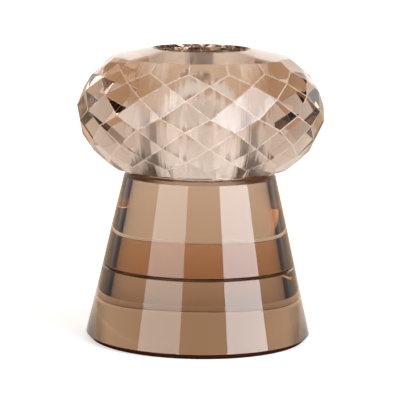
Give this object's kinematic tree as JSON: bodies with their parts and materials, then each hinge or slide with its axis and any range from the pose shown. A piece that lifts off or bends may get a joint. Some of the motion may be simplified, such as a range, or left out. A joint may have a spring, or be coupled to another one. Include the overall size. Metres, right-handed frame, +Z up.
{
  "type": "glass candlestick",
  "caption": "Low glass candlestick: a squashed faceted ball with a through bore for a dinner candle, bonded on a two-part tapered glass cone.",
  "frame": {"origin": "centre of the cone's flat underside, where it stands", "axes": "+Z up along the common axis of the cone, the head and the candle bore"},
  "size_m": [0.06, 0.06, 0.0709],
  "materials": {
    "head_glass": "polished flat facets, champagne smoke tint, satin bore wall",
    "cone_glass": "polished, amber smoke tint",
    "adhesive": "clear cured adhesive film"
  },
  "bodies": {
    "root": {"faceted_head": "head_glass", "head_bond": "adhesive", "upper_cone": "cone_glass", "cone_bond": "adhesive", "lower_cone": "cone_glass"}
  },
  "joints": []
}
